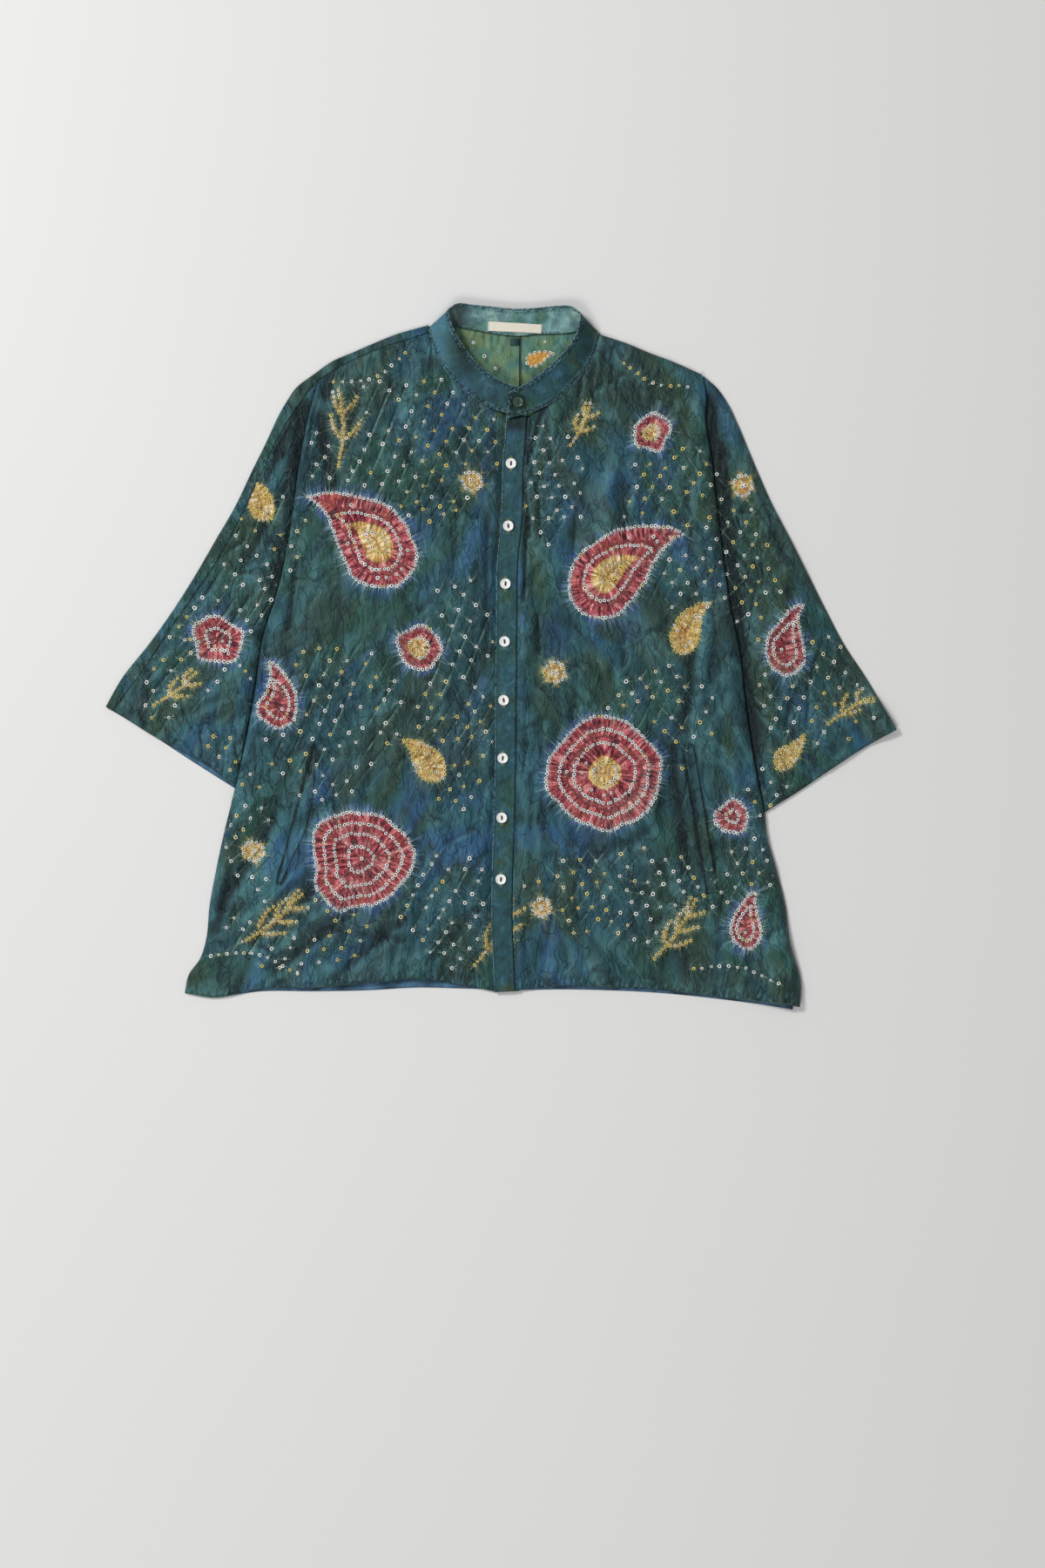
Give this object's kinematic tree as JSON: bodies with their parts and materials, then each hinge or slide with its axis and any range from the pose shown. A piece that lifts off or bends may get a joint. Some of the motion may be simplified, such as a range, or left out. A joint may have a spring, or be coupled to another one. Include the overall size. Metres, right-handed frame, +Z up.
{
  "type": "silk shirt",
  "caption": "Wide dyed silk shirt with a band collar, buttoned front, half sleeves and side pockets, laid flat on its back.",
  "frame": {"origin": "middle of the footprint, on the surface that the shirt lies on", "axes": "+Z up from the surface, through the front of the shirt; +Y from the hem towards the collar; +X towards the wearer's left sleeve"},
  "size_m": [0.8622, 0.7692, 0.0189],
  "materials": {
    "dyed_silk": "thin washed silk, dyed teal, blue and green in clouds, with tied dots and small puckers",
    "band_silk": "the same silk, interlined and smooth, mottled teal and blue",
    "label_tape": "cream woven tape, bare",
    "pale_shell": "pale, slightly pearly, polished",
    "dark_horn": "dark green, polished"
  },
  "bodies": {
    "root": {"back_left": "dyed_silk", "back_right": "dyed_silk", "front_left": "dyed_silk", "front_right": "dyed_silk", "sleeve_left_front": "dyed_silk", "sleeve_left_back": "dyed_silk", "sleeve_right_front": "dyed_silk", "sleeve_right_back": "dyed_silk", "pocket_bag_left": "dyed_silk", "pocket_bag_right": "dyed_silk", "placket_top": "band_silk", "placket_under": "band_silk", "collar": "band_silk", "pocket_welt_left": "band_silk", "pocket_welt_right": "band_silk", "hanging_loop": "band_silk", "neck_label": "label_tape", "button_1": "pale_shell", "button_2": "pale_shell", "button_3": "pale_shell", "button_4": "pale_shell", "button_5": "pale_shell", "button_6": "pale_shell", "button_7": "pale_shell", "button_8": "pale_shell", "button_collar": "dark_horn"}
  },
  "joints": []
}
